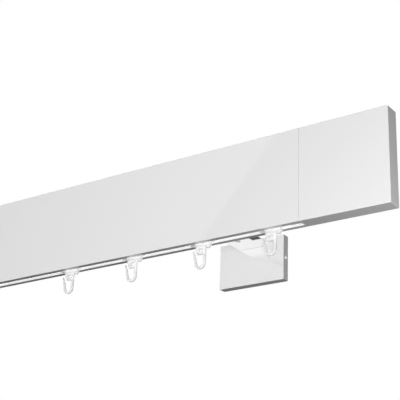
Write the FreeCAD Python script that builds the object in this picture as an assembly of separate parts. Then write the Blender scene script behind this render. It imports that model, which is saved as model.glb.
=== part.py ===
import FreeCAD, Part
import math
import os

# Flat inner-run curtain rail on two wall brackets. All sizes are in millimetres.
# X runs along the rail, +Y points into the wall and +Z points up. The origin lies on the wall,
# in the middle of the four wall screw holes.

# Rail
overall_length = 1000.0
rail_height = 80.0
rail_depth = 14.5
wall_distance = 125.5
rail_wall = 1.6
rail_edge_radius = 0.5
slot_width = 5.3
lip_thickness = 1.4
track_height = 10.0
web = 1.4

# Groove at the back of the rail, which the carriers hold
groove_height = 18.0
groove_depth = 3.2
groove_mouth = 9.4

# End caps, the plugs that join them to the rail, and the stops in the track
cap_length = 78.0
cap_wall = 1.6
cap_end_wall = 2.0
cap_chamfer = 0.35
seam_gap = 0.04
plug_reach = 30.0
plug_flange = 3.0
plug_fit = 0.2
plug_screw_radius = 2.0
plug_screw_length = 7.0
plug_screw_recess = 0.4
plug_screw_from_seam = 15.0
stop_length = 11.0
stop_height = 7.0
stop_screw_radius = 1.5

# Wall plate: a cover over a base that is screwed to the wall
bracket_from_seam = 118.3
cover_width = 69.3
cover_height = 43.0
cover_depth = 8.0
cover_wall = 1.6
cover_edge_radius = 0.5
cover_drop = 0.4
base_fit = 0.2
wall_screw_hole_radius = 2.25
wall_screw_sink_radius = 4.4
wall_screw_spacing = 17.0
wall_screw_height = 18.4
cover_screw_radius = 1.5
cover_screw_length = 8.0
cover_screw_recess = 0.5

# Bracket arm: a flat bar with a long slot that sets the distance to the wall
arm_width = 25.0
arm_thickness = 7.2
arm_below_cover_top = 1.0
arm_edge_radius = 0.4
arm_fit = 0.1
arm_slot_width = 4.4
arm_slot_from_cover = 20.0
arm_slot_from_front = 8.0
arm_screw_radius = 1.75
arm_screw_head_radius = 3.0
arm_screw_length = 16.0
arm_screw_spacing = 13.0
arm_screw_above_underside = 3.0

# Rail carrier and its screws
carrier_width = 24.0
carrier_plate = 3.0
carrier_play = 0.3
carrier_wing = 10.0
tongue_width = 22.0
tongue_length = 34.0
tongue_thickness = 3.0
clamp_from_front = 18.0
clamp_screw_radius = 2.0
clamp_head_radius = 3.8
clamp_head_height = 2.6
clamp_head_edge_radius = 1.0
clamp_socket_depth = 1.6
washer_radius = 4.8
washer_thickness = 1.0
lock_screw_radius = 2.0
lock_screw_length = 6.0
lock_screw_below_arm = 5.0

# Runners
runner_count = 12
runner_from_seam = 29.2
near_count = 4
first_pitch = 67.7
near_pitch = 72.0
group_gap = 102.1
last_runner_gap = 5.8
runner_length = 20.5
runner_body_height = 4.4
runner_side_play = 0.7
runner_seat_play = 0.1
neck_play = 0.35
foot_height = 2.2
foot_left = 5.2
foot_disc_radius = 4.5
foot_disc_play = 0.3
stub_radius = 1.9
stub_from_swivel = 7.5
stub_height = 1.7
runner_corner_radius = 1.6
swivel_radius = 1.2
swivel_clearance = 0.05
swivel_head_radius = 1.9
swivel_head_height = 1.2
swivel_head_play = 0.5
swivel_shoulder = 1.2
swivel_head_gap = 0.1

# Hooks
hook_gap = 0.2
hook_thickness = 2.0
hook_reach_right = 5.25
hook_leg_width = 2.3
hook_depth = 19.1
hook_bend_width = 2.4
hook_prong_height = 8.5
hook_reach_left = 5.9
hook_prong_width = 1.6
hook_outer_lean = 12.0
hook_inner_lean = 15.0
hook_tip_height = 16.6
hook_tip_bevel = 3.2
hook_tip_radius = 0.2
block_height = 6.4
block_left_top = 5.2
block_left_low = 3.2
eye_width = 4.2
eye_height = 2.3
eye_offset = 0.4
eye_drop = 2.8

# Fits shared by all screws
thread_play = 0.05
screw_hole_play = 0.1
socket_share = 0.5

# Places that follow from the sizes above
half_length = overall_length / 2
seam_x = half_length - cap_length
front_y = -wall_distance
rear_y = front_y + rail_depth
slot_y = front_y + rail_depth / 2
inner_front_y = front_y + rail_wall
inner_rear_y = rear_y - rail_wall
cover_low_z = -wall_screw_height
cover_top_z = cover_low_z + cover_height
rail_low_z = cover_low_z + cover_drop
rail_top_z = rail_low_z + rail_height
lip_top_z = rail_low_z + lip_thickness
track_roof_z = lip_top_z + track_height
arm_top_z = cover_top_z - arm_below_cover_top
arm_low_z = arm_top_z - arm_thickness
arm_mid_z = (arm_top_z + arm_low_z) / 2
groove_floor_y = inner_rear_y - groove_depth
base_depth = cover_depth - cover_wall - base_fit
carrier_y = rear_y + carrier_play
arm_front_y = carrier_y + carrier_plate
bracket_xs = {"left": bracket_from_seam - seam_x, "right": seam_x - bracket_from_seam}
sides = {"left": -1, "right": 1}


def block(x0, x1, y0, y1, z0, z1):
    """Box between two corners."""
    return Part.makeBox(x1 - x0, y1 - y0, z1 - z0, FreeCAD.Vector(x0, y0, z0))


def rod(radius, start, direction, length):
    """Cylinder from a start point along a direction."""
    return Part.makeCylinder(radius, length, FreeCAD.Vector(*start), FreeCAD.Vector(*direction))


def cone(radius_0, radius_1, start, direction, length):
    """Cone from a start point along a direction."""
    return Part.makeCone(radius_0, radius_1, length, FreeCAD.Vector(*start), FreeCAD.Vector(*direction))


def mirrored(shape, side):
    """A right-hand piece as it is, or its mirror image for the left-hand end."""
    if side == "right":
        return shape
    return shape.mirror(FreeCAD.Vector(0, 0, 0), FreeCAD.Vector(1, 0, 0))


def edges_along(shape, axis, keep):
    """Straight edges of a shape along one axis whose middle passes the keep test."""
    found = []
    for edge in shape.Edges:
        if edge.Curve.TypeId != "Part::GeomLine":
            continue
        direction = edge.tangentAt(edge.FirstParameter)
        if abs(direction.dot(FreeCAD.Vector(*axis))) > 0.999 and keep(edge.CenterOfMass):
            found.append(edge)
    return found


def hex_socket(radius, start, direction, depth):
    """Hexagonal prism, as wide across its corners as the socket radius says."""
    normal = FreeCAD.Vector(*direction)
    side = FreeCAD.Vector(0, 0, 1) if abs(normal.z) < 0.5 else FreeCAD.Vector(1, 0, 0)
    other = normal.cross(side)
    points = []
    for step in range(7):
        angle = math.radians(60 * step)
        across = side * (radius * math.cos(angle)) + other * (radius * math.sin(angle))
        points.append(FreeCAD.Vector(*start) + across)
    return Part.Face(Part.makePolygon(points)).extrude(normal * depth)


def grub_screw(radius, mouth, direction, length):
    """Headless screw along a direction, with a hexagonal socket in the end at the mouth."""
    socket = hex_socket(radius * socket_share, mouth, direction, radius)
    return rod(radius, mouth, direction, length).cut(socket)


def export(name, shape):
    """Write one piece."""
    shape.exportStep("parts/" + name + ".step")


def section_rectangle(y0, y1, z0, z1):
    """Flat rectangle in the plane of the rail's section."""
    corners = [(y0, z0), (y1, z0), (y1, z1), (y0, z1), (y0, z0)]
    return Part.Face(Part.makePolygon([FreeCAD.Vector(0, y, z) for y, z in corners]))


def outer_section(radius):
    """Outer outline of rail and caps, with rounded corners."""
    bar = section_rectangle(front_y, rear_y, rail_low_z, rail_top_z).extrude(FreeCAD.Vector(1, 0, 0))
    rounded = bar.makeFillet(radius, edges_along(bar, (1, 0, 0), lambda middle: True))
    wire = rounded.slice(FreeCAD.Vector(1, 0, 0), 0.5)[0]
    face = Part.Face(wire)
    face.translate(FreeCAD.Vector(-0.5, 0, 0))
    return face


def rail_section():
    """Hollow section: track below, groove for the carriers behind, chambers in between."""
    section = outer_section(rail_edge_radius)
    section = section.cut(section_rectangle(inner_front_y, inner_rear_y, lip_top_z, track_roof_z))
    section = section.cut(
        section_rectangle(slot_y - slot_width / 2, slot_y + slot_width / 2, rail_low_z - 1, lip_top_z + 0.01)
    )
    chamber = section_rectangle(inner_front_y, inner_rear_y, track_roof_z + web, rail_top_z - rail_wall)
    groove_half = groove_height / 2
    housing_half = groove_half + web
    housing = section_rectangle(
        groove_floor_y - web, inner_rear_y + 0.01, arm_mid_z - housing_half, arm_mid_z + housing_half
    )
    section = section.cut(chamber.cut(housing))
    section = section.cut(
        section_rectangle(groove_floor_y, inner_rear_y, arm_mid_z - groove_half, arm_mid_z + groove_half)
    )
    mouth_half = groove_mouth / 2
    return section.cut(
        section_rectangle(inner_rear_y - 0.01, rear_y + 1, arm_mid_z - mouth_half, arm_mid_z + mouth_half)
    )


def plug_bars():
    """Height ranges of the two hollow chambers that the plug bars fill, less their fit."""
    lower = (track_roof_z + web + plug_fit, arm_mid_z - groove_height / 2 - web - plug_fit)
    upper = (arm_mid_z + groove_height / 2 + web + plug_fit, rail_top_z - rail_wall - plug_fit)
    return [lower, upper]


def plug_screw_places():
    """Centres of the four plug screws on the back of the right-hand end."""
    places = []
    for low, high in plug_bars():
        for x in (seam_x - plug_screw_from_seam, seam_x + plug_screw_from_seam):
            places.append((x, (low + high) / 2))
    return places


def plug_screw_holes():
    """Round holes for the plug screws through the back walls of rail and cap."""
    holes = []
    for x, z in plug_screw_places():
        start = (x, rear_y + 1, z)
        holes.append(rod(plug_screw_radius + screw_hole_play, start, (0, -1, 0), rail_wall + plug_fit + 1.5))
    return holes


def make_rail():
    """Rail profile between the two seams."""
    rail = rail_section().extrude(FreeCAD.Vector(2 * (seam_x - seam_gap / 2), 0, 0))
    rail.translate(FreeCAD.Vector(seam_gap / 2 - seam_x, 0, 0))
    for side in sides:
        for hole in plug_screw_holes():
            rail = rail.cut(mirrored(hole, side))
    return rail


def make_cap():
    """Right-hand end cap: the rail's outline, hollow, closed at its end and underneath."""
    start = seam_x + seam_gap / 2
    cap = outer_section(rail_edge_radius).extrude(FreeCAD.Vector(half_length - start, 0, 0))
    cap.translate(FreeCAD.Vector(start, 0, 0))
    rims = []
    for edge in cap.Edges:
        middle = edge.CenterOfMass
        at_end = abs(middle.x - half_length) < 0.001 or abs(middle.x - start) < 0.001
        if at_end:
            rims.append(edge)
    cap = cap.makeChamfer(cap_chamfer, rims)
    cavity = block(
        start - 1,
        half_length - cap_end_wall,
        front_y + cap_wall,
        rear_y - cap_wall,
        rail_low_z + cap_wall,
        rail_top_z - cap_wall,
    )
    cap = cap.cut(cavity)
    for hole in plug_screw_holes():
        cap = cap.cut(hole)
    return cap


def make_plug():
    """Plug of the right-hand end: two bars that reach into rail and cap, and a flange between them."""
    y0 = front_y + max(rail_wall, cap_wall) + plug_fit
    y1 = rear_y - max(rail_wall, cap_wall) - plug_fit
    cap_room = rail_top_z - cap_wall - plug_fit
    low = plug_bars()[0][0]
    flange_start = seam_x + seam_gap / 2
    plug = block(flange_start, flange_start + plug_flange, y0, y1, low, cap_room)
    for low, high in plug_bars():
        bar = block(seam_x - plug_reach, seam_x + plug_reach, y0, y1, low, min(high, cap_room))
        plug = plug.fuse(bar)
    plug = plug.removeSplitter()
    radius = plug_screw_radius + thread_play
    for x, z in plug_screw_places():
        plug = plug.cut(rod(radius, (x, y1 + 1, z), (0, -1, 0), plug_screw_length + 1))
    return plug


def make_plug_screws():
    """Four grub screws of the right-hand plug, just below the back of rail and cap."""
    screws = []
    for x, z in plug_screw_places():
        mouth = (x, rear_y - plug_screw_recess, z)
        screws.append(grub_screw(plug_screw_radius, mouth, (0, -1, 0), plug_screw_length))
    return Part.makeCompound(screws)


def make_end_stop():
    """Right-hand end stop: a block in the track against the seam."""
    half_width = (inner_rear_y - inner_front_y) / 2 - neck_play
    stop_end = seam_x - seam_gap / 2
    y0 = slot_y - half_width
    y1 = slot_y + half_width
    stop = block(stop_end - stop_length, stop_end, y0, y1, lip_top_z, lip_top_z + stop_height)
    centre = (stop_end - stop_length / 2, slot_y, lip_top_z - 1)
    return stop.cut(rod(stop_screw_radius + thread_play, centre, (0, 0, 1), stop_height + 2))


def make_end_stop_screw():
    """Grub screw that spreads the right-hand end stop between the lips and the roof of the track."""
    mouth = (seam_x - seam_gap / 2 - stop_length / 2, slot_y, lip_top_z + 0.3)
    return grub_screw(stop_screw_radius, mouth, (0, 0, 1), track_height - 0.3)


def wall_screw_places(x):
    """Height of the two wall screws of one bracket, with the bracket's middle."""
    return [(x, -wall_screw_spacing / 2), (x, wall_screw_spacing / 2)]


def arm_screw_places(x):
    """Centres of the two screws that hold an arm to its base."""
    z = arm_low_z + arm_screw_above_underside
    return [(x - arm_screw_spacing / 2, z), (x + arm_screw_spacing / 2, z)]


def cover_screw_axis():
    """Depth and height of the cover's grub screw: the middle of the cover's side."""
    return -cover_depth / 2, (cover_low_z + cover_top_z) / 2


def make_base(x):
    """Wall base with two countersunk holes for the wall and two for the arm."""
    half_width = cover_width / 2 - cover_wall - base_fit
    low = cover_low_z + cover_wall + base_fit
    high = cover_top_z - cover_wall - base_fit
    base = block(x - half_width, x + half_width, -base_depth, 0, low, high)
    base = base.makeFillet(1.0, edges_along(base, (0, 1, 0), lambda middle: True))
    sink = wall_screw_sink_radius - wall_screw_hole_radius
    for px, pz in wall_screw_places(x):
        base = base.cut(rod(wall_screw_hole_radius, (px, -base_depth - 1, pz), (0, 1, 0), base_depth + 2))
        mouth = (px, -base_depth, pz)
        base = base.cut(cone(wall_screw_sink_radius, wall_screw_hole_radius, mouth, (0, 1, 0), sink))
    radius = arm_screw_radius + screw_hole_play
    head = arm_screw_head_radius + screw_hole_play
    for px, pz in arm_screw_places(x):
        base = base.cut(rod(radius, (px, -base_depth - 1, pz), (0, 1, 0), base_depth + 2))
        base = base.cut(cone(head, radius, (px, 0, pz), (0, -1, 0), head - radius))
    y, z = cover_screw_axis()
    depth = cover_screw_length - cover_wall - base_fit + cover_screw_recess
    return base.cut(rod(cover_screw_radius + thread_play, (x + half_width + 1, y, z), (-1, 0, 0), depth + 1))


def make_cover(x):
    """Cover of the wall plate: open towards the wall, with a window for the arm and a side hole."""
    half_width = cover_width / 2
    cover = block(x - half_width, x + half_width, -cover_depth, 0, cover_low_z, cover_top_z)
    cover = cover.makeFillet(cover_edge_radius, edges_along(cover, (0, 1, 0), lambda middle: True))
    front = [edge for edge in cover.Edges if abs(edge.CenterOfMass.y + cover_depth) < 0.001]
    cover = cover.makeFillet(cover_edge_radius, front)
    inner = half_width - cover_wall
    inner_low_z = cover_low_z + cover_wall
    inner_top_z = cover_top_z - cover_wall
    cover = cover.cut(block(x - inner, x + inner, cover_wall - cover_depth, 1, inner_low_z, inner_top_z))
    window = arm_width / 2 + arm_fit
    window_low_z = arm_low_z - arm_fit
    window_top_z = arm_top_z + arm_fit
    y0 = -cover_depth - 1
    cover = cover.cut(block(x - window, x + window, y0, -base_depth, window_low_z, window_top_z))
    y, z = cover_screw_axis()
    hole = rod(cover_screw_radius + screw_hole_play, (x + half_width + 1, y, z), (-1, 0, 0), cover_wall + 2)
    return cover.cut(hole)


def make_cover_screw(x):
    """Grub screw in the right-hand side of the cover."""
    y, z = cover_screw_axis()
    mouth = (x + cover_width / 2 - cover_screw_recess, y, z)
    return grub_screw(cover_screw_radius, mouth, (-1, 0, 0), cover_screw_length)


def make_arm(x):
    """Flat bar from the carrier to the base, with a long slot in its middle."""
    half_width = arm_width / 2
    arm = block(x - half_width, x + half_width, arm_front_y, -base_depth, arm_low_z, arm_top_z)
    arm = arm.makeFillet(arm_edge_radius, edges_along(arm, (0, 1, 0), lambda middle: True))
    slot_half = arm_slot_width / 2
    slot_start = arm_front_y + arm_slot_from_front
    slot_end = -cover_depth - arm_slot_from_cover
    low = arm_low_z - 1
    tall = arm_thickness + 2
    slot = block(x - slot_half, x + slot_half, slot_start + slot_half, slot_end - slot_half, low, low + tall)
    slot = slot.fuse(rod(slot_half, (x, slot_start + slot_half, low), (0, 0, 1), tall))
    slot = slot.fuse(rod(slot_half, (x, slot_end - slot_half, low), (0, 0, 1), tall))
    arm = arm.cut(slot)
    for px, pz in arm_screw_places(x):
        depth = arm_screw_length - base_depth
        start = (px, 1 - base_depth, pz)
        arm = arm.cut(rod(arm_screw_radius + thread_play, start, (0, -1, 0), depth + 1.5))
    return arm


def make_arm_screws(x):
    """Two countersunk screws from behind the base into the arm."""
    screws = []
    for px, pz in arm_screw_places(x):
        start = (px, 0, pz)
        head_height = arm_screw_head_radius - arm_screw_radius
        shank = rod(arm_screw_radius, start, (0, -1, 0), arm_screw_length)
        head = cone(arm_screw_head_radius, arm_screw_radius, start, (0, -1, 0), head_height)
        socket = hex_socket(arm_screw_radius * socket_share, start, (0, -1, 0), arm_screw_radius)
        screws.append(shank.fuse(head).cut(socket))
    return Part.makeCompound(screws)


def clamp_y():
    """Depth of the clamp screw's axis."""
    return arm_front_y + clamp_from_front


def make_carrier(x):
    """Holder that hooks into the groove, stands behind the rail and reaches over the arm."""
    half_width = carrier_width / 2
    head_half = groove_height / 2 - carrier_play
    head = block(
        x - half_width,
        x + half_width,
        groove_floor_y + carrier_play,
        inner_rear_y,
        arm_mid_z - head_half,
        arm_mid_z + head_half,
    )
    neck_half = groove_mouth / 2 - carrier_play
    neck = block(
        x - half_width, x + half_width, inner_rear_y, carrier_y, arm_mid_z - neck_half, arm_mid_z + neck_half
    )
    wing_low = arm_low_z - carrier_wing
    plate = block(
        x - half_width, x + half_width, carrier_y, arm_front_y, wing_low, arm_top_z + tongue_thickness
    )
    plate = plate.makeFillet(2.0, edges_along(plate, (0, 1, 0), lambda middle: middle.z < arm_low_z))
    tongue = block(
        x - tongue_width / 2,
        x + tongue_width / 2,
        arm_front_y,
        arm_front_y + tongue_length,
        arm_top_z,
        arm_top_z + tongue_thickness,
    )
    tongue = tongue.makeFillet(
        4.0, edges_along(tongue, (0, 0, 1), lambda middle: middle.y > arm_front_y + tongue_length - 0.01)
    )
    carrier = head.fuse(neck).fuse(plate).fuse(tongue).removeSplitter()
    carrier = carrier.cut(
        rod(clamp_screw_radius + thread_play, (x, clamp_y(), arm_top_z - 1), (0, 0, 1), tongue_thickness + 2)
    )
    z = arm_low_z - lock_screw_below_arm
    return carrier.cut(
        rod(lock_screw_radius + thread_play, (x, carrier_y - 0.1, z), (0, 1, 0), carrier_plate + 0.2)
    )


def make_clamp_screw(x):
    """Pan-head screw from under the arm, through its slot, into the carrier's tongue."""
    seat = arm_low_z - washer_thickness
    head_low = seat - clamp_head_height
    shank = rod(clamp_screw_radius, (x, clamp_y(), seat), (0, 0, 1), arm_top_z + tongue_thickness - seat)
    head = rod(clamp_head_radius, (x, clamp_y(), head_low), (0, 0, 1), clamp_head_height)
    rim = [edge for edge in head.Edges if edge.CenterOfMass.z < head_low + 0.01]
    head = head.makeFillet(clamp_head_edge_radius, rim)
    socket_radius = clamp_head_radius * socket_share
    socket = hex_socket(socket_radius, (x, clamp_y(), head_low), (0, 0, 1), clamp_socket_depth)
    return shank.fuse(head).cut(socket)


def make_washer(x):
    """Washer between the clamp screw's head and the arm."""
    seat = arm_low_z - washer_thickness
    ring = rod(washer_radius, (x, clamp_y(), seat), (0, 0, 1), washer_thickness)
    radius = clamp_screw_radius + screw_hole_play
    return ring.cut(rod(radius, (x, clamp_y(), seat - 1), (0, 0, 1), washer_thickness + 2))


def make_lock_screw(x):
    """Grub screw in the carrier that presses on the back of the rail."""
    mouth = (x, rear_y + lock_screw_length, arm_low_z - lock_screw_below_arm)
    return grub_screw(lock_screw_radius, mouth, (0, -1, 0), lock_screw_length)


def runner_places():
    """Middle of every runner, from the right-hand end to the left: a near group and an even far one."""
    stop_face = seam_x - seam_gap / 2 - stop_length
    last = last_runner_gap + runner_length / 2 - stop_face
    first = seam_x - runner_from_seam
    places = [first, first - first_pitch]
    while len(places) < near_count:
        places.append(places[-1] - near_pitch)
    far_count = runner_count - near_count
    far_first = places[-1] - group_gap
    far_pitch = (far_first - last) / (far_count - 1)
    return places + [far_first - far_pitch * index for index in range(far_count)]


def upright_box(x0, x1, half_width, z0, z1, radius):
    """Box across the slot's middle with rounded upright edges."""
    box = block(x0, x1, slot_y - half_width, slot_y + half_width, z0, z1)
    return box.makeFillet(radius, edges_along(box, (0, 0, 1), lambda middle: True))


def make_runner(x):
    """Runner: slider on the lips, neck in the slot, and below it a foot with a disc and a stub."""
    half = runner_length / 2
    neck_half = slot_width / 2 - neck_play
    body_half = (inner_rear_y - inner_front_y) / 2 - runner_side_play
    seat = lip_top_z + runner_seat_play
    foot_low = rail_low_z - foot_height
    body = upright_box(x - half, x + half, body_half, seat, seat + runner_body_height, runner_corner_radius)
    neck = upright_box(x - half, x + half, neck_half, rail_low_z, seat, runner_corner_radius)
    foot = upright_box(x - foot_left, x + half, neck_half, foot_low, rail_low_z, runner_corner_radius)
    disc = rod(foot_disc_radius, (x, slot_y, foot_low), (0, 0, 1), foot_height - foot_disc_play)
    stub = rod(stub_radius, (x + stub_from_swivel, slot_y, foot_low - stub_height), (0, 0, 1), stub_height + 0.5)
    runner = body.fuse(neck).fuse(foot).fuse(disc).fuse(stub).removeSplitter()
    shoulder = seat + swivel_shoulder
    bore_radius = swivel_radius + swivel_clearance
    bore_length = shoulder - foot_low + 2
    runner = runner.cut(rod(bore_radius, (x, slot_y, foot_low - 1), (0, 0, 1), bore_length))
    room = swivel_head_radius + swivel_head_play
    return runner.cut(rod(room, (x, slot_y, shoulder), (0, 0, 1), runner_body_height))


def bend_circle(right_x, low_z, side_x, side_z, lean):
    """Radius and centre of the arc that touches a vertical, a horizontal and a leaning line.

    The vertical lies on the right, the horizontal below, and the leaning line passes a point on the left."""
    cosine = math.cos(lean)
    sine = math.sin(lean)
    radius = (cosine * (right_x - side_x) - sine * (side_z - low_z)) / (1 + cosine - sine)
    return radius, right_x - radius, low_z + radius


def hook_side(x, right_x, low_z, side_x, side_z, lean, end_z, top):
    """Points of one side of the band, from the top of the leg down, round the bend and up the prong."""
    radius, centre_x, centre_z = bend_circle(right_x, low_z, side_x, side_z, lean)
    touch_x = centre_x - radius * math.cos(lean)
    touch_z = centre_z - radius * math.sin(lean)
    end_x = touch_x - (end_z - touch_z) * math.tan(lean)
    points = [(right_x, top), (right_x, centre_z), (centre_x, low_z), (touch_x, touch_z), (end_x, end_z)]
    return [FreeCAD.Vector(x + px, slot_y, pz) for px, pz in points]


def hook_outline(x, top):
    """Outline of leg, bend and prong: the prong leans outwards, narrows and ends in a bevelled tip."""
    low = top - hook_depth
    outer_lean = math.radians(hook_outer_lean)
    inner_lean = math.radians(hook_inner_lean)
    side_z = low + hook_prong_height
    tip_z = low + hook_tip_height
    inner_x = hook_prong_width - hook_reach_left
    inner_right = hook_reach_right - hook_leg_width
    outer = hook_side(x, hook_reach_right, low, -hook_reach_left, side_z, outer_lean, tip_z, top)
    inner = hook_side(
        x, inner_right, low + hook_bend_width, inner_x, side_z, inner_lean, tip_z - hook_tip_bevel, top
    )
    edges = [
        Part.LineSegment(outer[0], outer[1]).toShape(),
        Part.Arc(outer[1], outer[2], outer[3]).toShape(),
        Part.LineSegment(outer[3], outer[4]).toShape(),
        Part.LineSegment(outer[4], inner[4]).toShape(),
        Part.LineSegment(inner[4], inner[3]).toShape(),
        Part.Arc(inner[3], inner[2], inner[1]).toShape(),
        Part.LineSegment(inner[1], inner[0]).toShape(),
        Part.LineSegment(inner[0], outer[0]).toShape(),
    ]
    return Part.Face(Part.Wire(edges))


def hook_block(x, top):
    """Outline of the block beside the leg."""
    low = top - block_height
    middle = hook_reach_right - hook_leg_width / 2
    corners = [
        (x - block_left_top, top),
        (x + middle, top),
        (x + middle, low),
        (x - block_left_low, low),
        (x - block_left_top, top),
    ]
    return Part.Face(Part.makePolygon([FreeCAD.Vector(px, slot_y, pz) for px, pz in corners]))


def make_hook(x):
    """Hook with its block, its eye and the swivel pin that snaps into the runner."""
    foot_low = rail_low_z - foot_height
    top = foot_low - hook_gap
    across = FreeCAD.Vector(0, hook_thickness, 0)
    band = hook_outline(x, top).extrude(across)
    tip_z = top - hook_depth + hook_tip_height
    band = band.makeFillet(
        hook_tip_radius, edges_along(band, (0, 1, 0), lambda middle: abs(middle.z - tip_z) < 0.001)
    )
    hook = band.fuse(hook_block(x, top).extrude(across))
    hook.translate(FreeCAD.Vector(0, -hook_thickness / 2, 0))
    eye_z = top - eye_drop
    half = (eye_width - eye_height) / 2
    radius = eye_height / 2
    for side in (-1, 1):
        end = (x + eye_offset + side * half, slot_y - hook_thickness, eye_z)
        hook = hook.cut(rod(radius, end, (0, 1, 0), 2 * hook_thickness))
    middle = block(
        x + eye_offset - half,
        x + eye_offset + half,
        slot_y - hook_thickness,
        slot_y + hook_thickness,
        eye_z - radius,
        eye_z + radius,
    )
    hook = hook.cut(middle)
    head_low = lip_top_z + runner_seat_play + swivel_shoulder + swivel_head_gap
    pin = rod(swivel_radius, (x, slot_y, top - 0.5), (0, 0, 1), head_low - top + 0.6)
    head = cone(swivel_head_radius, swivel_radius, (x, slot_y, head_low), (0, 0, 1), swivel_head_height)
    return hook.fuse(pin).fuse(head).removeSplitter()


export("rail_profile", make_rail())
for side in sides:
    export("end_cap_" + side, mirrored(make_cap(), side))
    export("end_plug_" + side, mirrored(make_plug(), side))
    export("plug_screws_" + side, mirrored(make_plug_screws(), side))
    export("end_stop_" + side, mirrored(make_end_stop(), side))
    export("end_stop_screw_" + side, mirrored(make_end_stop_screw(), side))
for side, bracket_x in bracket_xs.items():
    export("wall_base_" + side, make_base(bracket_x))
    export("plate_cover_" + side, make_cover(bracket_x))
    export("cover_screw_" + side, make_cover_screw(bracket_x))
    export("bracket_arm_" + side, make_arm(bracket_x))
    export("arm_screws_" + side, make_arm_screws(bracket_x))
    export("rail_carrier_" + side, make_carrier(bracket_x))
    export("clamp_screw_" + side, make_clamp_screw(bracket_x))
    export("clamp_washer_" + side, make_washer(bracket_x))
    export("lock_screw_" + side, make_lock_screw(bracket_x))
for number, runner_x in enumerate(runner_places(), 1):
    export("runner_%02d" % number, make_runner(runner_x))
    export("hook_%02d" % number, make_hook(runner_x))
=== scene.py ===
"""Glossy flat curtain rail with an inner track, gliders with swivel hooks, end caps and two wall brackets.

Sizes are in metres in the rail's own frame: +X runs along the rail, +Y points into the wall and +Z up.
The origin lies on the wall, in the middle of the four wall screw holes.
"""

import math

import bpy
import numpy as np
from bpy.props import FloatProperty, FloatVectorProperty, PointerProperty
from mathutils import Matrix, Vector


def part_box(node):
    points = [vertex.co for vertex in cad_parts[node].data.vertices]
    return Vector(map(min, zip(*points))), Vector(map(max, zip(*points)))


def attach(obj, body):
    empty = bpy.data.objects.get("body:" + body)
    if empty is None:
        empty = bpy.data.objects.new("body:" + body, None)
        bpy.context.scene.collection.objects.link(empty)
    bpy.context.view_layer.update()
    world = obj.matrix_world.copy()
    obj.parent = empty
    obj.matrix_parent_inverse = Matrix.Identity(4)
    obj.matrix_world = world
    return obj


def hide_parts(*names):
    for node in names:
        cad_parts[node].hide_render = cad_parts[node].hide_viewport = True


bl_info = {
    "name": "Inner-run curtain rail",
    "version": (1, 0, 0),
    "blender": (4, 5, 0),
    "location": "3D View > Sidebar > Curtain rail",
    "description": "Dresses a packed curtain rail: gliders, hooks, lacquer, metal, plastic and studio",
    "category": "Object",
}

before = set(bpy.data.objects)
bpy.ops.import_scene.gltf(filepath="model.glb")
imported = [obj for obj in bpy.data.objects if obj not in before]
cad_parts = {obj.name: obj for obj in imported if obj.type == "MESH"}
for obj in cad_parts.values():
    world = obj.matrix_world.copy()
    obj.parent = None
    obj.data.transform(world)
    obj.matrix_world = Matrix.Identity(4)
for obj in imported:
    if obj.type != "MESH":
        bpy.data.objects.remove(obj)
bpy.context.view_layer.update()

MM = 0.001
TINY = 1e-9
LEAST_RADIUS = 0.1 * MM
HEAD_RIM_INSET, HEAD_RIM_HEIGHT = 0.1 * MM, 0.2 * MM
WHITE = (1.0, 1.0, 1.0, 1.0)
SHADE = (0.35, 0.35, 0.36, 1.0)
SMOOTH_ANGLE = math.radians(40)
CORNER_POINTS, EASE_STEPS, RIM_STEPS = 7, 4, 5
DISC_POINTS, STUB_POINTS, PIN_POINTS = 48, 32, 24
LEG_STEPS, BEND_STEPS, PRONG_STEPS, BAND_POINTS = 10, 28, 8, 32
EYE_RAYS, EYE_POINTS, EYE_SOFTNESS = 72, 24, 18.0
RAIL_LOW, RAIL_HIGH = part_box("rail_profile")
RUNNERS = sorted(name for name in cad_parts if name.startswith("runner_"))
HOOKS = sorted(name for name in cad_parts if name.startswith("hook_"))
SLOT_Y = (RAIL_LOW[1] + RAIL_HIGH[1]) / 2


# Surfaces


def grid_faces(rows, columns, wrap_rows, wrap_columns, first=0):
    """Quads of a grid: each joins (i, j), (i+1, j), (i+1, j+1) and (i, j+1), past the end where it wraps."""
    i = np.arange(rows if wrap_rows else rows - 1)[:, None]
    j = np.arange(columns if wrap_columns else columns - 1)[None, :]
    next_i, next_j = (i + 1) % rows, (j + 1) % columns
    corners = [i * columns + j, next_i * columns + j, next_i * columns + next_j, i * columns + next_j]
    return np.stack([c + 0 * (i + j) for c in corners], axis=-1).reshape(-1, 4) + first


def join_surfaces(surfaces):
    """One vertex array and one list of faces from several (points, quads, polygons) surfaces."""
    points, faces, first = [], [], 0
    for vertices, quads, polygons in surfaces:
        points.append(vertices)
        faces += (quads + first).tolist()
        faces += [[int(v) + first for v in polygon] for polygon in polygons]
        first += len(vertices)
    return np.concatenate(points), faces


def make_piece(name, surfaces):
    """Mesh object at the origin from surfaces, smooth except where faces meet at more than SMOOTH_ANGLE."""
    points, faces = join_surfaces(surfaces)
    mesh = bpy.data.meshes.new(name)
    mesh.from_pydata(points.tolist(), [], faces)
    mesh.shade_smooth()
    mesh.set_sharp_from_angle(angle=SMOOTH_ANGLE)
    piece = bpy.data.objects.new(name, mesh)
    bpy.context.scene.collection.objects.link(piece)
    return piece


def rounded_section(count, half_a, half_b, squareness):
    """Superellipse |a|^n + |b|^n = 1 scaled to the half sizes: its points at even turns of the angle."""
    turn = np.linspace(0, 2 * np.pi, count, endpoint=False)
    cosine, sine = np.cos(turn), np.sin(turn)
    a = half_a * np.sign(cosine) * np.abs(cosine) ** (2 / squareness)
    b = half_b * np.sign(sine) * np.abs(sine) ** (2 / squareness)
    return a, b


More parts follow.
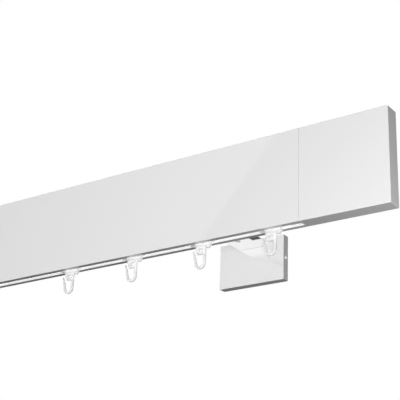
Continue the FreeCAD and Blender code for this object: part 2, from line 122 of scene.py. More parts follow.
def disc_profile(radius, low, high, ease):
    """Radius and height up the side of a disc: both rims follow a quarter circle of the ease's radius."""
    turn = np.linspace(0, np.pi / 2, RIM_STEPS)
    radii = radius - ease * (1 - np.sin(turn))
    rise = ease * (1 - np.cos(turn))
    heights = np.concatenate([low + rise, (high - rise)[::-1]])
    return np.stack([np.concatenate([radii, radii[::-1]]), heights], axis=-1)


def swept_band(outer, inner, half_thickness, inset, section):
    """Band between two side lines in the plane y = SLOT_Y, closed by flat ends.

    Per step: point = middle + a * (half width - inset) * side + b * (half thickness - inset) * Y. Middle and
    half width come from the two lines, side points from inner to outer, and (a, b) is the section."""
    middle, half = (outer + inner) / 2, (outer - inner) / 2
    width = np.linalg.norm(half, axis=1)
    share = (1 - inset / width)[:, None]
    a, b = section
    x = middle[:, :1] + half[:, :1] * share * a
    z = middle[:, 1:] + half[:, 1:] * share * a
    y = SLOT_Y + (half_thickness - inset)[:, None] * b
    grid = np.stack([x, y, z], axis=-1)
    rows, columns = grid.shape[:2]
    ends = [list(range(columns)), list(range((rows - 1) * columns, rows * columns))[::-1]]
    return grid.reshape(-1, 3), grid_faces(rows, columns, False, True), ends


def turned(profile, centre, count):
    """Surface of revolution about Z: each (radius, height) of the profile goes once round the centre."""
    turn = np.linspace(0, 2 * np.pi, count, endpoint=False)
    radius, height = profile[:, 0][:, None], profile[:, 1][:, None]
    x = centre[0] + radius * np.cos(turn)
    y = centre[1] + radius * np.sin(turn)
    z = height + 0 * x
    grid = np.stack([x, y, z], axis=-1)
    rows = len(profile)
    quads = grid_faces(rows, count, False, True)[:, ::-1]
    ends = [list(range(count))[::-1], list(range((rows - 1) * count, rows * count))]
    return grid.reshape(-1, 3), quads, ends


def rounded_outline(x0, x1, half_width, radius):
    """Rectangle with corner arcs, anticlockwise: a quarter circle of points round each corner's centre."""
    quarter = np.linspace(0, np.pi / 2, CORNER_POINTS)
    radius = min(radius, (x1 - x0) / 2, half_width)
    centres = [
        (x1 - radius, half_width - radius, 0.0),
        (x0 + radius, half_width - radius, np.pi / 2),
        (x0 + radius, radius - half_width, np.pi),
        (x1 - radius, radius - half_width, 1.5 * np.pi),
    ]
    xs = [cx + radius * np.cos(quarter + start) for cx, cy, start in centres]
    ys = [cy + radius * np.sin(quarter + start) for cx, cy, start in centres]
    return np.concatenate(xs), np.concatenate(ys)


def stacked_outlines(levels):
    """Levels (z, x0, x1, half width, corner radius), each a rounded rectangle, joined from low to high."""
    rows = []
    for z, x0, x1, half_width, radius in levels:
        x, y = rounded_outline(x0, x1, half_width, radius)
        rows.append(np.stack([x, y, np.full_like(x, z)], axis=-1))
    grid = np.stack(rows)
    count, columns = grid.shape[:2]
    quads = grid_faces(count, columns, False, True)[:, ::-1]
    ends = [list(range(columns))[::-1], list(range((count - 1) * columns, count * columns))]
    return grid.reshape(-1, 3), quads, ends


def eased_levels(z0, z1, x0, x1, half_width, corner, ease):
    """Levels of a box whose top and bottom rims are rounded: the inset follows a quarter circle."""
    turn = np.linspace(0, np.pi / 2, EASE_STEPS)
    inset = ease * (1 - np.sin(turn))
    rise = ease * (1 - np.cos(turn))
    outlines = [(x0 + i, x1 - i, half_width - i, max(corner - i, LEAST_RADIUS)) for i in inset]
    low = [(z0 + r, *outline) for r, outline in zip(rise, outlines)]
    high = [(z1 - r, *outline) for r, outline in zip(rise, outlines)]
    return low + high[::-1]


# Shader groups and materials


def new_group(name, inputs, outputs):
    """Empty shader node group with (name, kind, default) inputs and (name, kind) outputs."""
    group = bpy.data.node_groups.new(name, "ShaderNodeTree")
    for label, kind, default in inputs:
        socket = group.interface.new_socket(label, in_out="INPUT", socket_type=kind)
        socket.default_value = default
    for label, kind in outputs:
        group.interface.new_socket(label, in_out="OUTPUT", socket_type=kind)
    return group, group.nodes.new("NodeGroupInput"), group.nodes.new("NodeGroupOutput")


def add_node(tree, kind, values=(), links=(), **settings):
    """Node of a kind with its settings, socket values and (input, source socket) links."""
    node = tree.nodes.new(kind)
    for key, value in settings.items():
        setattr(node, key, value)
    for key, value in dict(values).items():
        node.inputs[key].default_value = value
    for key, source in dict(links).items():
        tree.links.new(source, node.inputs[key])
    return node


def math_node(tree, operation, first, second):
    """Output of a math node of two sockets or numbers."""
    node = tree.nodes.new("ShaderNodeMath")
    node.operation = operation
    for slot, value in enumerate((first, second)):
        if isinstance(value, (int, float)):
            node.inputs[slot].default_value = value
        else:
            tree.links.new(value, node.inputs[slot])
    return node.outputs[0]


def noise(tree, place, scale, detail, roughness):
    """Output of a noise texture at a place, with a scale socket."""
    values = {"Detail": detail, "Roughness": roughness}
    return add_node(tree, "ShaderNodeTexNoise", values, {"Vector": place, "Scale": scale}).outputs["Fac"]


def surface_group():
    """Fine surface life shared by all finishes, from Object coordinates.

    Grain is noise stretched by the given scale per axis. Rough is the base roughness plus the haze of a
    broad noise. Height is the grain for a Bump node. Tint darkens the colour a little in the broad noise."""
    found = bpy.data.node_groups.get("Surface life")
    if found:
        return found
    group, source, sink = new_group(
        "Surface life",
        [
            ("Stretch", "NodeSocketVector", (1.0, 1.0, 1.0)),
            ("Grain scale", "NodeSocketFloat", 400.0),
            ("Haze scale", "NodeSocketFloat", 12.0),
            ("Color", "NodeSocketColor", (0.8, 0.8, 0.8, 1.0)),
            ("Tint", "NodeSocketFloat", 0.02),
            ("Roughness", "NodeSocketFloat", 0.1),
            ("Haze", "NodeSocketFloat", 0.02),
        ],
        [("Color", "NodeSocketColor"), ("Roughness", "NodeSocketFloat"), ("Height", "NodeSocketFloat")],
    )
    place = add_node(group, "ShaderNodeTexCoord")
    stretched = add_node(
        group,
        "ShaderNodeVectorMath",
        links={0: place.outputs["Object"], 1: source.outputs["Stretch"]},
        operation="MULTIPLY",
    )
    grain = noise(group, stretched.outputs[0], source.outputs["Grain scale"], 3.0, 0.55)
    haze = noise(group, stretched.outputs[0], source.outputs["Haze scale"], 2.0, 0.5)
    spread = math_node(group, "MULTIPLY", haze, source.outputs["Haze"])
    rough = math_node(group, "ADD", spread, source.outputs["Roughness"])
    amount = math_node(group, "MULTIPLY", haze, source.outputs["Tint"])
    tinted = add_node(
        group,
        "ShaderNodeMix",
        values={7: SHADE},
        links={0: amount, 6: source.outputs["Color"]},
        data_type="RGBA",
    )
    group.links.new(tinted.outputs[2], sink.inputs["Color"])
    group.links.new(rough, sink.inputs["Roughness"])
    group.links.new(grain, sink.inputs["Height"])
    return group


def finish_material(name, color, life, bump, **constants):
    """Principled material fed by the surface group; bump is its strength and its distance in metres."""
    material = bpy.data.materials.new(name)
    material.use_nodes = True
    tree = material.node_tree
    shader = tree.nodes["Principled BSDF"]
    group = add_node(tree, "ShaderNodeGroup", node_tree=surface_group())
    group.inputs["Color"].default_value = (*color, 1.0)
    for key, value in life.items():
        group.inputs[key].default_value = value
    relief = add_node(
        tree,
        "ShaderNodeBump",
        values={"Strength": bump[0], "Distance": bump[1]},
        links={"Height": group.outputs["Height"]},
    )
    tree.links.new(group.outputs["Color"], shader.inputs["Base Color"])
    tree.links.new(group.outputs["Roughness"], shader.inputs["Roughness"])
    tree.links.new(relief.outputs["Normal"], shader.inputs["Normal"])
    for key, value in constants.items():
        shader.inputs[key.replace("_", " ")].default_value = value
    return material


def dress(nodes, material):
    """Puts one material in every slot of the named CAD nodes."""
    for name in nodes:
        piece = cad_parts[name]
        if not piece.material_slots:
            piece.data.materials.append(material)
        for entry in piece.material_slots:
            entry.material = material


def nodes_named(*starts):
    """CAD nodes whose names begin with one of the given words."""
    return [name for name in sorted(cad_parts) if name.startswith(starts)]


# Settings a user would change


def color_property(label, text, default):
    """Colour setting with a picker."""
    return FloatVectorProperty(
        name=label, description=text, subtype="COLOR", size=3, min=0, max=1, default=default
    )


def number_property(label, text, default, **options):
    """Plain number, or one with the unit or subtype in the options."""
    return FloatProperty(name=label, description=text, default=default, **options)


def length_property(label, text, millimetres):
    """Length setting, given in millimetres and kept in metres."""
    return number_property(label, text, millimetres * MM, unit="LENGTH", precision=5)


def angle_property(label, text, degrees):
    """Angle setting, given in degrees."""
    return number_property(label, text, math.radians(degrees), subtype="ANGLE")


def share_property(label, text, default):
    """Share between 0 and 1."""
    return number_property(label, text, default, subtype="FACTOR", min=0.0, max=1.0)


class RailFinishSettings(bpy.types.PropertyGroup):
    lacquer: color_property("Lacquer", "Colour of the rail and its end caps", (0.83, 0.83, 0.835))
    cover: color_property("Cover lacquer", "Colour of the wall plate covers", (0.97, 0.97, 0.97))
    # The white of the cover screws is a painted highlight: it makes each steel screw end show as a bright
    # dot.
    screw: color_property("Cover screw", "Colour of the painted cover screws", (1.0, 1.0, 1.0))
    arm: color_property("Polished arm", "Colour of the polished bracket arms", (0.95, 0.95, 0.955))
    zinc: color_property("Zinc", "Colour of carriers and bases", (0.6, 0.61, 0.62))
    steel: color_property("Steel", "Colour of screws and washers", (0.72, 0.72, 0.73))
    plug: color_property("Plug plastic", "Colour of the end plugs", (0.45, 0.46, 0.47))
    stop: color_property("Stop nylon", "Colour of the end stops", (0.8, 0.8, 0.79))
    lacquer_roughness: share_property("Lacquer roughness", "Gloss of the lacquer", 0.015)
    cover_roughness: share_property("Cover roughness", "Gloss of the covers", 0.01)
    peel: length_property("Orange peel", "Depth of the lacquer's fine waves", 0.004)


class GliderSettings(bpy.types.PropertyGroup):
    nylon: color_property("Runner nylon", "Colour of the runners", (0.74, 0.74, 0.735))
    ease: length_property("Edge rounding", "Rounding of the moulded edges", 0.35)
    corner: length_property("Corner radius", "Radius of the upright edges", 1.6)
    foot_height: length_property("Foot height", "How far the foot stands out below the rail", 2.2)
    foot_left: length_property("Foot reach", "Reach of the foot to the left of the swivel", 5.2)
    neck_height: length_property("Neck height", "From the rail's underside to the seat of the slider", 1.5)
    neck_half: length_property("Neck half width", "Half the width of the neck in the slot", 2.3)
    disc_radius: length_property("Disc radius", "Radius of the disc round the swivel", 4.5)
    disc_height: length_property("Disc height", "Height of the disc round the swivel", 1.9)
    stub_radius: length_property("Stub radius", "Radius of the stub beside the swivel", 1.9)
    stub_place: length_property("Stub place", "From the swivel's axis to the stub's", 7.5)
    stub_height: length_property("Stub height", "How far the stub stands out below the foot", 1.7)
    dimple_radius: length_property("Dimple radius", "Radius of the dimple in the stub's end", 0.9)
    dimple_depth: length_property("Dimple depth", "Depth of the dimple in the stub's end", 0.8)


class HookSettings(bpy.types.PropertyGroup):
    nylon: color_property("Hook nylon", "Colour of the hooks", (0.76, 0.76, 0.755))
    thickness: length_property("Thickness", "Thickness of the hook along Y", 2.0)
    reach_right: length_property("Leg reach", "From the swivel's axis to the right side of the leg", 5.25)
    leg_width: length_property("Leg width", "Width of the leg seen from the room", 2.3)
    depth: length_property("Depth", "From the top of the hook to its lowest point", 19.1)
    bend_width: length_property("Bend width", "Width of the band at the lowest point", 2.4)
    prong_height: length_property("Prong height", "Where the prong is measured, above the lowest point", 8.5)
    reach_left: length_property("Prong reach", "From the swivel's axis to the prong's left side", 5.9)
    prong_width: length_property("Prong width", "Width of the prong", 1.6)
    tip_height: length_property("Tip height", "Height of the tip above the lowest point", 16.6)
    tip_bevel: length_property("Tip bevel", "How much lower the bevel ends on the inner side", 3.2)
    tip_ease: length_property("Tip rounding", "Rounding of the bevel's rim", 0.3)
    outer_lean: angle_property("Outer lean", "Lean of the prong's outer side", 12)
    inner_lean: angle_property("Inner lean", "Lean of the prong's inner side", 15)
    block_height: length_property("Block height", "Height of the block beside the leg", 6.4)
    block_left_top: length_property("Block top", "Reach of the block to the left at its top", 5.2)
    block_left_low: length_property("Block foot", "Reach of the block to the left at its foot", 3.2)
    eye_width: length_property("Eye width", "Width of the slot through the block", 4.2)
    eye_height: length_property("Eye height", "Height of the slot through the block", 2.3)
    eye_offset: length_property("Eye offset", "From the swivel's axis to the middle of the eye", 0.4)
    eye_drop: length_property("Eye drop", "From the top of the hook to the middle of the eye", 2.8)
    pin_radius: length_property("Pin radius", "Radius of the swivel pin", 1.2)
    head_radius: length_property("Head radius", "Radius of the pin's snap head", 1.9)
    head_height: length_property("Head height", "Height of the pin's snap head", 1.2)
    squareness: number_property("Squareness", "Power of the section's superellipse", 6.0)


class StudioSettings(bpy.types.PropertyGroup):
    floor_height: number_property("Floor", "Height of the floor", -0.62, unit="LENGTH")
    key_power: number_property("Key lamp", "Power of the small lamp off the right end", 1.1, unit="POWER")
    fill_power: number_property("Fill lamp", "Power of the lamp in front", 13.1, unit="POWER")
    back_power: number_property("Back lamp", "Power of the lamp high behind", 75.0, unit="POWER")
    ambient: share_property("Ambient", "World light on the object", 0.02)
    dusk: share_property("Dusk", "World light in the gloss towards the wall", 0.1)
    panel: share_property("Panel", "How dark the panel is in the gloss", 1.0)
    lens: number_property("Lens", "Focal length of the camera", 95.06, unit="CAMERA")


# Pieces


class RAIL_OT_runners(bpy.types.Operator):
    """Makes every runner: slider, neck and foot stacked as rounded rectangles, a disc and a dimpled stub"""

    bl_idname = "curtain_rail.runners"
    bl_label = "Runners"

    def execute(self, context):
        settings = context.scene.glider_settings
        material = nylon_material("Runner nylon", settings.nylon)
        for name in RUNNERS:
            piece = make_piece(name + "_moulded", runner_surfaces(settings, name))
            piece.data.materials.append(material)
            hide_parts(name)
            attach(piece, name)
        return {"FINISHED"}


def nylon_material(name, color):
    """Milky nylon: light comes out a few millimetres from where it goes in; a faint glow is painted light.
    """
    life = {"Grain scale": 900.0, "Haze scale": 90.0, "Tint": 0.03, "Roughness": 0.3, "Haze": 0.12}
    return finish_material(
        name,
        color,
        life,
        (0.2, 0.03 * MM),
        IOR=1.53,
        Subsurface_Weight=1.0,
        Subsurface_Radius=(1.0, 1.0, 1.0),
        Subsurface_Scale=6.0 * MM,
        # Painted light: the white emission makes the nylon glow a little, which lifts its shaded sides.
        Emission_Color=WHITE,
        Emission_Strength=0.15,
    )


def runner_surfaces(settings, name):
    """Closed surfaces of one runner, from the box of its CAD node and the settings.

    From the box's low side upwards: the stub alone, the foot from stub height, the neck from the rail's
    underside and the body from its seat. Foot, neck and body are stacked rounded rectangles, and the disc
    and the dimpled stub are profiles turned about their own axes."""
    low, high = (np.array(corner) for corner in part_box(name))
    axis_x = (low[0] + high[0]) / 2
    foot_low = low[2] + settings.stub_height
    rail_low = foot_low + settings.foot_height
    seat = rail_low + settings.neck_height
    half_body = (high[1] - low[1]) / 2
    neck_half, corner, ease = settings.neck_half, settings.corner, settings.ease
    foot = eased_levels(foot_low, rail_low, axis_x - settings.foot_left, high[0], neck_half, corner, ease)
    neck = [(z, low[0], high[0], neck_half, corner) for z in (rail_low, seat)]
    body = eased_levels(seat, high[2], low[0], high[0], half_body, corner, ease)
    stacks = [stacked_outlines(levels) for levels in (foot, neck, body)]
    stacks = [(points + np.array([0, SLOT_Y, 0]), quads, ends) for points, quads, ends in stacks]
    disc = disc_profile(settings.disc_radius, foot_low, foot_low + settings.disc_height, ease)
    stub = disc_profile(settings.stub_radius, low[2], foot_low + ease, ease)
    dimple = np.array([(settings.dimple_radius, low[2] + rise) for rise in (settings.dimple_depth, 0.0)])
    stub_x = axis_x + settings.stub_place
    return stacks + [
        turned(disc, (axis_x, SLOT_Y), DISC_POINTS),
        turned(np.concatenate([dimple, stub]), (stub_x, SLOT_Y), STUB_POINTS),
    ]


def band_side(right, low, side, lean, end_z, top):
    """One side line of the band in X and Z, from the top of the leg down, round the bend and up the prong.

    The bend is the arc that touches the leg's vertical at right, the horizontal at low and the line that
    passes the point side at the lean. Its radius is (cos * (right - side x) - sin * (side z - low)) over
    (1 + cos - sin). Its points are centre + radius * (cos turn, -sin turn), for turns up to pi - lean."""
    cosine, sine = math.cos(lean), math.sin(lean)
    radius = (cosine * (right - side[0]) - sine * (side[1] - low)) / (1 + cosine - sine)
    centre_x, centre_z = right - radius, low + radius
    leg_z = np.linspace(top, centre_z, LEG_STEPS, endpoint=False)
    turn = np.linspace(0, np.pi - lean, BEND_STEPS)
    touch_x, touch_z = centre_x - radius * cosine, centre_z - radius * sine
    prong_z = np.linspace(touch_z, end_z, PRONG_STEPS + 1)[1:]
    leg_x = np.full(LEG_STEPS, right)
    prong_x = touch_x - (prong_z - touch_z) * math.tan(lean)
    x = np.concatenate([leg_x, centre_x + radius * np.cos(turn), prong_x])
    z = np.concatenate([leg_z, centre_z - radius * np.sin(turn), prong_z])
    return np.stack([x, z], axis=-1)


def hook_band(settings, axis_x, top):
    """Leg, bend and prong between an outer and an inner side line, with an eased rim at the bevelled tip."""
    low = top - settings.depth
    side_z = low + settings.prong_height
    tip_z = low + settings.tip_height
    left = axis_x - settings.reach_left
    right = axis_x + settings.reach_right
    outer = band_side(right, low, (left, side_z), settings.outer_lean, tip_z, top)
    inner = band_side(
        right - settings.leg_width,
        low + settings.bend_width,
        (left + settings.prong_width, side_z),
        settings.inner_lean,
        tip_z - settings.tip_bevel,
        top,
    )
    turn = np.linspace(0, np.pi / 2, EASE_STEPS)
    back = settings.tip_ease * (1 - np.sin(turn))
    inset = np.concatenate([np.zeros(len(outer) - 1), settings.tip_ease * (1 - np.cos(turn))])
    lines = []
    for line in (outer, inner):
        ahead = (line[-1] - line[-2]) / np.linalg.norm(line[-1] - line[-2])
        lines.append(np.concatenate([line[:-1], line[-1] - back[:, None] * ahead]))
    section = rounded_section(BAND_POINTS, 1.0, 1.0, settings.squareness)
    return swept_band(lines[0], lines[1], settings.thickness / 2, inset, section)


def eye_block(settings, axis_x, top):
    """Block round the eye: for each ray from the eye's middle, a rounded section between the two outlines.

    The inner outline is a slot with round ends. The outer one is the block's leaning rectangle, as the soft
    minimum (sum of r^-n)^(-1/n) of the distances r to its four sides, which rounds its corners. The section
    turns once round the middle of the wall between them, so the eye stays open and every edge is round."""
    eye = np.array([axis_x + settings.eye_offset, top - settings.eye_drop])
    turn = np.linspace(0, 2 * np.pi, EYE_RAYS, endpoint=False)
    ray = np.stack([np.cos(turn), np.sin(turn)], axis=-1)
    radius = settings.eye_height / 2
    half_flat = settings.eye_width / 2 - radius
    across = np.abs(ray[:, 0])
    round_end = half_flat * across + np.sqrt(np.maximum(radius**2 - (half_flat * ray[:, 1]) ** 2, 0))
    straight = radius / np.maximum(np.abs(ray[:, 1]), TINY)
    inner = np.where(straight * across <= half_flat, straight, round_end)
    slope = (settings.block_left_top - settings.block_left_low) / settings.block_height
    left_at_eye = settings.block_left_top - slope * settings.eye_drop + settings.eye_offset
    reach_right = settings.reach_right - settings.leg_width / 2 - settings.eye_offset
    up = settings.eye_drop / np.maximum(ray[:, 1], TINY)
    down = (settings.block_height - settings.eye_drop) / np.maximum(-ray[:, 1], TINY)
    rightward = reach_right / np.maximum(ray[:, 0], TINY)
    leftward = left_at_eye / np.maximum(-ray[:, 0] - slope * ray[:, 1], TINY)
    unit = settings.block_height
    distances = np.stack([up, down, rightward, leftward]) / unit
    outer = unit * (distances**-EYE_SOFTNESS).sum(axis=0) ** (-1 / EYE_SOFTNESS)
    middle, half = (inner + outer) / 2, (outer - inner) / 2
    a, b = rounded_section(EYE_POINTS, 1.0, settings.thickness / 2, settings.squareness)
    reach = middle[:, None] + half[:, None] * a[None, :]
    x = eye[0] + reach * ray[:, 0][:, None]
    z = eye[1] + reach * ray[:, 1][:, None]
    grid = np.stack([x, SLOT_Y + b[None, :] + 0 * reach, z], axis=-1)
    return grid.reshape(-1, 3), grid_faces(len(turn), len(a), True, True), []


def swivel_pin(settings, axis_x, top, head_top):
    """Pin from inside the block up to its snap head, which is a short cone with a blunt rim."""
    head_low = head_top - settings.head_height
    profile = [
        (settings.pin_radius, top - settings.thickness / 4),
        (settings.pin_radius, head_low),
        (settings.head_radius, head_low),
        (settings.head_radius - HEAD_RIM_INSET, head_low + HEAD_RIM_HEIGHT),
        (settings.pin_radius, head_top),
    ]
    return turned(np.array(profile), (axis_x, SLOT_Y), PIN_POINTS)


class RAIL_OT_hooks(bpy.types.Operator):
    """Makes every hook: the band of leg, bend and prong, the block with its eye and the swivel pin"""

    bl_idname = "curtain_rail.hooks"
    bl_label = "Hooks"

    def execute(self, context):
        settings = context.scene.hook_settings
        material = nylon_material("Hook nylon", settings.nylon)
        for name in HOOKS:
            low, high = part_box(name)
            runner_low, runner_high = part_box(name.replace("hook", "runner"))
            axis_x = (runner_low[0] + runner_high[0]) / 2
            top = low[2] + settings.depth
            piece = make_piece(
                name + "_moulded",
                [
                    hook_band(settings, axis_x, top),
                    eye_block(settings, axis_x, top),
                    swivel_pin(settings, axis_x, top, high[2]),
                ],
            )
            piece.data.materials.append(material)
            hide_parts(name)
            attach(piece, name)
        return {"FINISHED"}


class RAIL_OT_lacquer(bpy.types.Operator):
    """Gives the rail, its end caps and the wall plate covers their glossy white lacquer"""

    bl_idname = "curtain_rail.lacquer"
    bl_label = "White lacquer"

    def execute(self, context):
        settings = context.scene.rail_finish
        waves = {
            "Stretch": (0.5, 1.0, 1.0),
            "Grain scale": 350.0,
            "Haze scale": 25.0,
            "Tint": 0.01,
            "Haze": 0.01,
        }
        rail_life = dict(waves, Roughness=settings.lacquer_roughness)
        cover_life = dict(waves, Roughness=settings.cover_roughness)
        rail = finish_material("White lacquer", settings.lacquer, rail_life, (0.05, settings.peel), IOR=1.5)
        cover = finish_material("Cover lacquer", settings.cover, cover_life, (0.02, settings.peel), IOR=2.9)
        dress(nodes_named("rail_profile", "end_cap"), rail)
        dress(nodes_named("plate_cover"), cover)
        # The cover screws are steel; this white lacquer is a painted highlight that makes each screw end a
        # bright dot.
        screw = finish_material("Painted screw", settings.screw, rail_life, (0.02, settings.peel), IOR=1.5)
        dress(nodes_named("cover_screw"), screw)
        return {"FINISHED"}


class RAIL_OT_metal(bpy.types.Operator):
    """Gives arms, carriers, bases and screws their polished, cast and plated metal"""

    bl_idname = "curtain_rail.metal"
    bl_label = "Metal"

    def execute(self, context):
        settings = context.scene.rail_finish
        polish = {
            "Stretch": (1.0, 0.03, 1.0),
            "Grain scale": 1500.0,
            "Haze scale": 60.0,
            "Tint": 0.02,
            "Roughness": 0.05,
            "Haze": 0.05,
        }
        cast = {"Grain scale": 1200.0, "Haze scale": 70.0, "Tint": 0.2, "Roughness": 0.38, "Haze": 0.15}
        plated = {"Grain scale": 2500.0, "Haze scale": 150.0, "Tint": 0.15, "Roughness": 0.24, "Haze": 0.12}
        arm = finish_material("Polished arm", settings.arm, polish, (0.04, 0.01 * MM), Metallic=1.0)
        zinc = finish_material("Cast zinc", settings.zinc, cast, (0.4, 0.03 * MM), Metallic=1.0)
        steel = finish_material("Plated steel", settings.steel, plated, (0.3, 0.01 * MM), Metallic=1.0)
        dress(nodes_named("bracket_arm"), arm)
        dress(nodes_named("rail_carrier", "wall_base"), zinc)
        dress(nodes_named("plug_screws", "end_stop_screw", "arm_screws"), steel)
        dress(nodes_named("clamp_screw", "clamp_washer", "lock_screw"), steel)
        return {"FINISHED"}


class RAIL_OT_plastic(bpy.types.Operator):
    """Gives end plugs and end stops their moulded plastic"""

    bl_idname = "curtain_rail.plastic"
    bl_label = "Moulded plastic"

    def execute(self, context):
        settings = context.scene.rail_finish
        life = {"Grain scale": 1500.0, "Haze scale": 80.0, "Tint": 0.12, "Roughness": 0.42, "Haze": 0.15}
        plug = finish_material("Plug plastic", settings.plug, life, (0.5, 0.03 * MM))
        stop = nylon_material("Stop nylon", settings.stop)
        dress(nodes_named("end_plug"), plug)
        dress([name for name in nodes_named("end_stop") if "screw" not in name], stop)
        return {"FINISHED"}


# Studio

LAMPS = (
    # name, place, target, size, setting of its power, whether it casts shadows
    ("key", (0.762, -0.258, -0.219), (0.35, -0.1, 0.0), 0.3, "key_power", True),
    ("fill", (0.34, -1.3, -0.02), (0.1, -0.1, 0.0), 0.8, "fill_power", False),
    ("back", (-1.6, 1.8, 1.7), (0.0, 0.0, 0.0), 1.6, "back_power", True),
)
# Each pair holds the two ends of a ramp over the direction of a ray: over its Y for the room, over how far
# it points beyond the panel's plane for the panel's edge and fade, and over its Z for the panel's rise.
ROOM_EDGE = (0.05, -0.25)
PANEL_NORMAL = (0.568, -0.640, -0.517)
PANEL_EDGE, PANEL_FADE, PANEL_RISE = (-0.001, 0.001), (0.16, 0.0), (0.05, 0.3)
FLOOR_POINTS, FLOOR_REACH = 40, 3.2
FLOOR_COLOR, FLOOR_ROUGHNESS, FLOOR_GLOW = (0.7, 0.7, 0.7, 1.0), 0.9, 0.45
CAMERA_PLACE = (0.8053, -0.7871, -0.3126)
CAMERA_TURNS = ((35.83, "Z"), (22.10, "X"), (-2.21, "Y"), (90.0, "X"))
SENSOR_WIDTH = 36.0


def area_lamp(name, place, target, size, power, shadow):
    """Square area lamp at a place, facing a target, unseen by the camera and in the gloss."""
    data = bpy.data.lights.new(name, "AREA")
    data.shape = "SQUARE"
    data.size = size
    data.energy = power
    data.use_shadow = shadow
    lamp = bpy.data.objects.new(name, data)
    lamp.location = place
    lamp.rotation_mode = "QUATERNION"
    lamp.rotation_quaternion = (Vector(target) - Vector(place)).to_track_quat("-Z", "Y")
    lamp.visible_glossy = False
    lamp.visible_camera = False
    bpy.context.scene.collection.objects.link(lamp)


def ramp(tree, source, ends, kind="SMOOTHSTEP"):
    """Map of a value to 0 at the first end and 1 at the second."""
    values = {"From Min": ends[0], "From Max": ends[1]}
    node = add_node(tree, "ShaderNodeMapRange", values, {"Value": source}, interpolation_type=kind)
    return node.outputs["Result"]


def seen_directly(tree, path):
    """1 for the camera's rays and for those that pass through glass, 0 for all others."""
    return math_node(tree, "MAXIMUM", path.outputs["Is Camera Ray"], path.outputs["Is Transmission Ray"])


def make_world(ambient, dusk, panel_share):
    """White for the camera and through glass, dim and even for the object's own colour, a room in the gloss.

    In the gloss the world is white towards the room and falls to the dusk value towards the wall. A darker
    panel stands in the room: sharp where a plane through the object cuts it, and fading out away from there
    and towards the floor. After a diffuse bounce the gloss is as dim as the rest, so no mirror lights up."""
    world = bpy.data.worlds.new("Studio")
    bpy.context.scene.world = world
    world.use_nodes = True
    tree = world.node_tree
    background = tree.nodes["Background"]
    direction = add_node(tree, "ShaderNodeTexCoord").outputs["Generated"]
    axes = add_node(tree, "ShaderNodeSeparateXYZ", links={0: direction})
    room = ramp(tree, axes.outputs["Y"], ROOM_EDGE)
    values, links = {1: PANEL_NORMAL}, {0: direction}
    beyond = add_node(tree, "ShaderNodeVectorMath", values, links, operation="DOT_PRODUCT").outputs["Value"]
    edge = ramp(tree, beyond, PANEL_EDGE, "LINEAR")
    fade = ramp(tree, beyond, PANEL_FADE)
    above = ramp(tree, axes.outputs["Z"], PANEL_RISE)
    panel = math_node(tree, "MULTIPLY", edge, math_node(tree, "MULTIPLY", fade, above))
    dimmed = math_node(tree, "SUBTRACT", 1.0, math_node(tree, "MULTIPLY", panel, panel_share))
    lit = math_node(tree, "MULTIPLY", room, dimmed)
    gloss = add_node(tree, "ShaderNodeMapRange", {"To Min": dusk, "To Max": 1.0}, {"Value": lit})
    path = add_node(tree, "ShaderNodeLightPath")
    clear = seen_directly(tree, path)
    plain = add_node(tree, "ShaderNodeMapRange", {"To Min": ambient, "To Max": 1.0}, {"Value": clear})
    first_bounce = math_node(tree, "LESS_THAN", path.outputs["Diffuse Depth"], 0.5)
    mirrored = math_node(tree, "MULTIPLY", path.outputs["Is Glossy Ray"], first_bounce)
    links = {0: mirrored, 2: plain.outputs["Result"], 3: gloss.outputs["Result"]}
    strength = add_node(tree, "ShaderNodeMix", links=links)
    background.inputs["Color"].default_value = WHITE
    tree.links.new(strength.outputs[0], background.inputs["Strength"])


def make_floor(height):
    """Pale floor, a flat disc, that keeps the soft shadow and looks pale grey; from below it is clear."""
    turn = np.linspace(0, 2 * np.pi, FLOOR_POINTS, endpoint=False)
    x, y = FLOOR_REACH * np.cos(turn), FLOOR_REACH * np.sin(turn)
    points = np.stack([x, y, np.full(FLOOR_POINTS, height)], axis=-1)
    mesh = bpy.data.meshes.new("floor")
    mesh.from_pydata(points.tolist(), [], [list(range(FLOOR_POINTS))])
    floor = bpy.data.objects.new("floor", mesh)
    bpy.context.scene.collection.objects.link(floor)
    floor.visible_diffuse = False
    floor.visible_glossy = False
    material = bpy.data.materials.new("Pale floor")
    material.use_nodes = True
    tree = material.node_tree
    shader = tree.nodes["Principled BSDF"]
    shader.inputs["Base Color"].default_value = FLOOR_COLOR
    shader.inputs["Roughness"].default_value = FLOOR_ROUGHNESS
    shader.inputs["Specular IOR Level"].default_value = 0.0
    shader.inputs["Emission Color"].default_value = WHITE
    path = add_node(tree, "ShaderNodeLightPath")
    glow = math_node(tree, "MULTIPLY", seen_directly(tree, path), FLOOR_GLOW)
    tree.links.new(glow, shader.inputs["Emission Strength"])
    clear = add_node(tree, "ShaderNodeBsdfTransparent")
    side = add_node(tree, "ShaderNodeNewGeometry")
    below = math_node(tree, "MULTIPLY", path.outputs["Is Camera Ray"], side.outputs["Backfacing"])
    links = {0: below, 1: shader.outputs[0], 2: clear.outputs[0]}
    mixed = add_node(tree, "ShaderNodeMixShader", links=links)
    tree.links.new(mixed.outputs[0], tree.nodes["Material Output"].inputs["Surface"])
    mesh.materials.append(material)


def make_camera(lens):
    """Camera of the photograph: below the rail and to its right, looking up to the left."""
    data = bpy.data.cameras.new("Camera")
    data.lens = lens
    data.sensor_width = SENSOR_WIDTH
    camera = bpy.data.objects.new("Camera", data)
    pose = Matrix.Translation(CAMERA_PLACE)
    for degrees, axis in CAMERA_TURNS:
        pose = pose @ Matrix.Rotation(math.radians(degrees), 4, axis)
    camera.matrix_world = pose
    bpy.context.scene.collection.objects.link(camera)
    bpy.context.scene.camera = camera


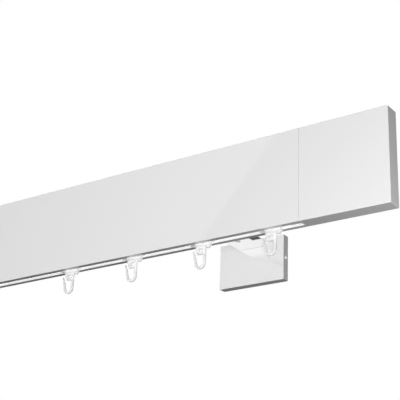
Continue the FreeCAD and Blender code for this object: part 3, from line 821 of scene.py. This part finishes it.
class RAIL_OT_studio(bpy.types.Operator):
    """Sets the camera, the soft lamps, the white world and the pale floor"""

    bl_idname = "curtain_rail.studio"
    bl_label = "Studio"

    def execute(self, context):
        settings = context.scene.studio_settings
        make_world(settings.ambient, settings.dusk, settings.panel)
        make_floor(settings.floor_height)
        for name, place, target, size, power, shadow in LAMPS:
            area_lamp(name, place, target, size, getattr(settings, power), shadow)
        make_camera(settings.lens)
        context.scene.view_settings.view_transform = "Standard"
        return {"FINISHED"}


class RAIL_PT_panel(bpy.types.Panel):
    """Sidebar list of the pieces and their settings"""

    bl_idname = "RAIL_PT_panel"
    bl_label = "Curtain rail"
    bl_space_type = "VIEW_3D"
    bl_region_type = "UI"
    bl_category = "Curtain rail"

    def draw(self, context):
        layout = self.layout
        for operator in OPERATORS:
            layout.operator(operator.bl_idname)
        for name in SETTINGS:
            group = getattr(context.scene, name)
            box = layout.box()
            for key in group.bl_rna.properties.keys():
                if key not in {"rna_type", "name"}:
                    box.prop(group, key)


SETTINGS = {
    "rail_finish": RailFinishSettings,
    "glider_settings": GliderSettings,
    "hook_settings": HookSettings,
    "studio_settings": StudioSettings,
}
OPERATORS = (RAIL_OT_lacquer, RAIL_OT_metal, RAIL_OT_plastic, RAIL_OT_runners, RAIL_OT_hooks, RAIL_OT_studio)


def register():
    """Registers settings, operators and panel."""
    for name, group in SETTINGS.items():
        bpy.utils.register_class(group)
        setattr(bpy.types.Scene, name, PointerProperty(type=group))
    for operator in OPERATORS:
        bpy.utils.register_class(operator)
    bpy.utils.register_class(RAIL_PT_panel)


def unregister():
    """Takes all of them away again."""
    bpy.utils.unregister_class(RAIL_PT_panel)
    for operator in reversed(OPERATORS):
        bpy.utils.unregister_class(operator)
    for name, group in SETTINGS.items():
        delattr(bpy.types.Scene, name)
        bpy.utils.unregister_class(group)


def main():
    """Runs every operator in order."""
    register()
    bpy.ops.curtain_rail.lacquer()
    bpy.ops.curtain_rail.metal()
    bpy.ops.curtain_rail.plastic()
    bpy.ops.curtain_rail.runners()
    bpy.ops.curtain_rail.hooks()
    bpy.ops.curtain_rail.studio()


if __name__ == "__main__":
    main()
